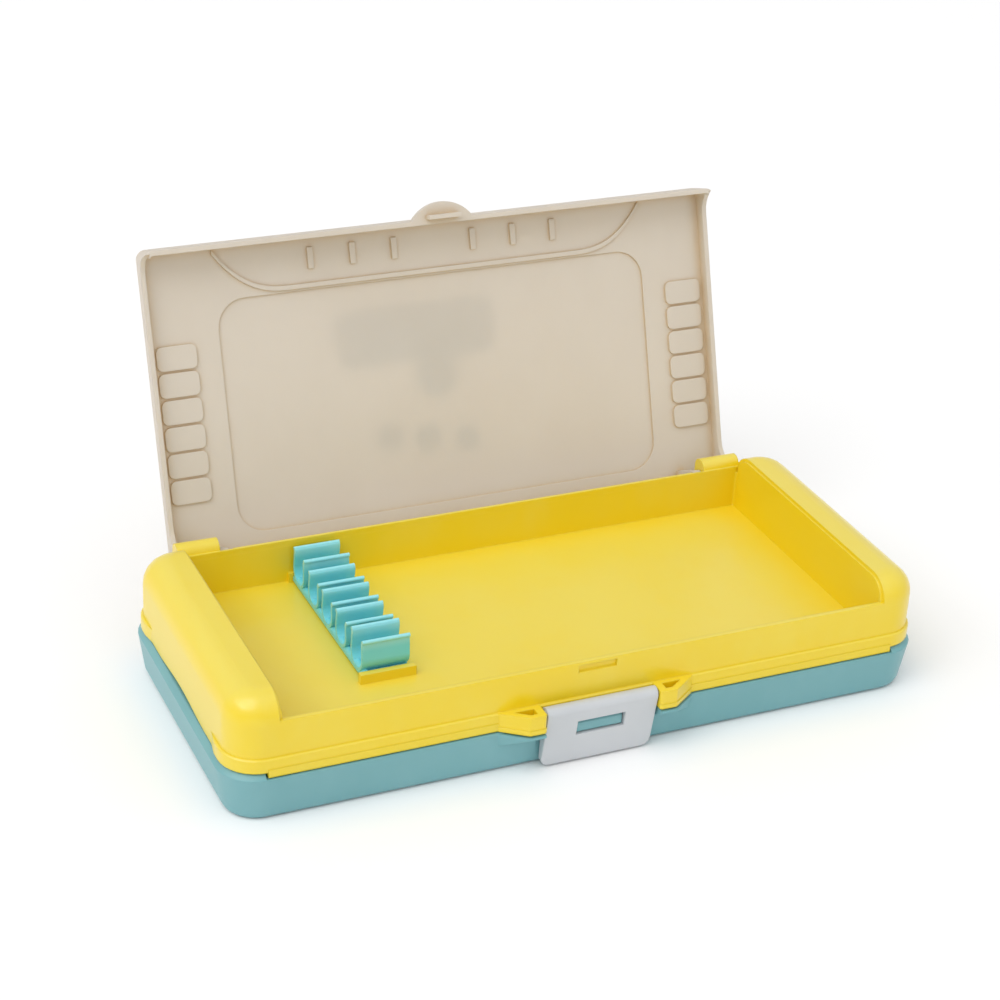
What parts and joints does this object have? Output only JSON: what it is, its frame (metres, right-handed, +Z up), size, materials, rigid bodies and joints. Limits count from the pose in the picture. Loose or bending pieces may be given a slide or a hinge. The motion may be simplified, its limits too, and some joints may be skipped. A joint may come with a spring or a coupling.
{
  "type": "pencil case",
  "caption": "Two-deck plastic pencil case with a hinged lid, a hinged upper tray over a lower compartment, a front latch plate and a tilting pencil rack.",
  "frame": {"origin": "centre of the base tray's plan outline, on its underside", "axes": "+X along the length, to the right seen from the latch side; -Y towards the latch; +Z up"},
  "size_m": [0.2218, 0.1414, 0.1235],
  "materials": {
    "base_plastic": "satin blue-green polypropylene",
    "tray_plastic": "satin yellow polypropylene",
    "lid_plastic": "slightly translucent cream polypropylene",
    "print_ink": "printed film",
    "latch_plastic": "satin light grey plastic",
    "rack_plastic": "satin light blue plastic"
  },
  "bodies": {
    "base": {"base_tray": "base_plastic"},
    "tray": {"upper_tray": "tray_plastic"},
    "lid": {"lid": "lid_plastic", "lid_print": "print_ink"},
    "latch": {"latch_plate": "latch_plastic"},
    "rack": {"pencil_rack": "rack_plastic"}
  },
  "joints": [
    {"name": "tray_hinge", "type": "hinge", "parent": "base", "child": "tray", "pos_m": [0, 0.04985, 0.0152], "axis": [-1, 0, 0], "range_deg": [0, 105]},
    {"name": "lid_hinge", "type": "hinge", "parent": "tray", "child": "lid", "pos_m": [0, 0.0471, 0.0309], "axis": [-1, 0, 0], "range_deg": [-109, 0]},
    {"name": "latch_hinge", "type": "hinge", "parent": "tray", "child": "latch", "pos_m": [0, -0.04925, 0.019], "axis": [-1, 0, 0], "range_deg": [0, 110]},
    {"name": "rack_tilt", "type": "hinge", "parent": "tray", "child": "rack", "pos_m": [-0.059, 0.0134, 0.0213], "axis": [0, -1, 0], "range_deg": [0, 40]}
  ]
}
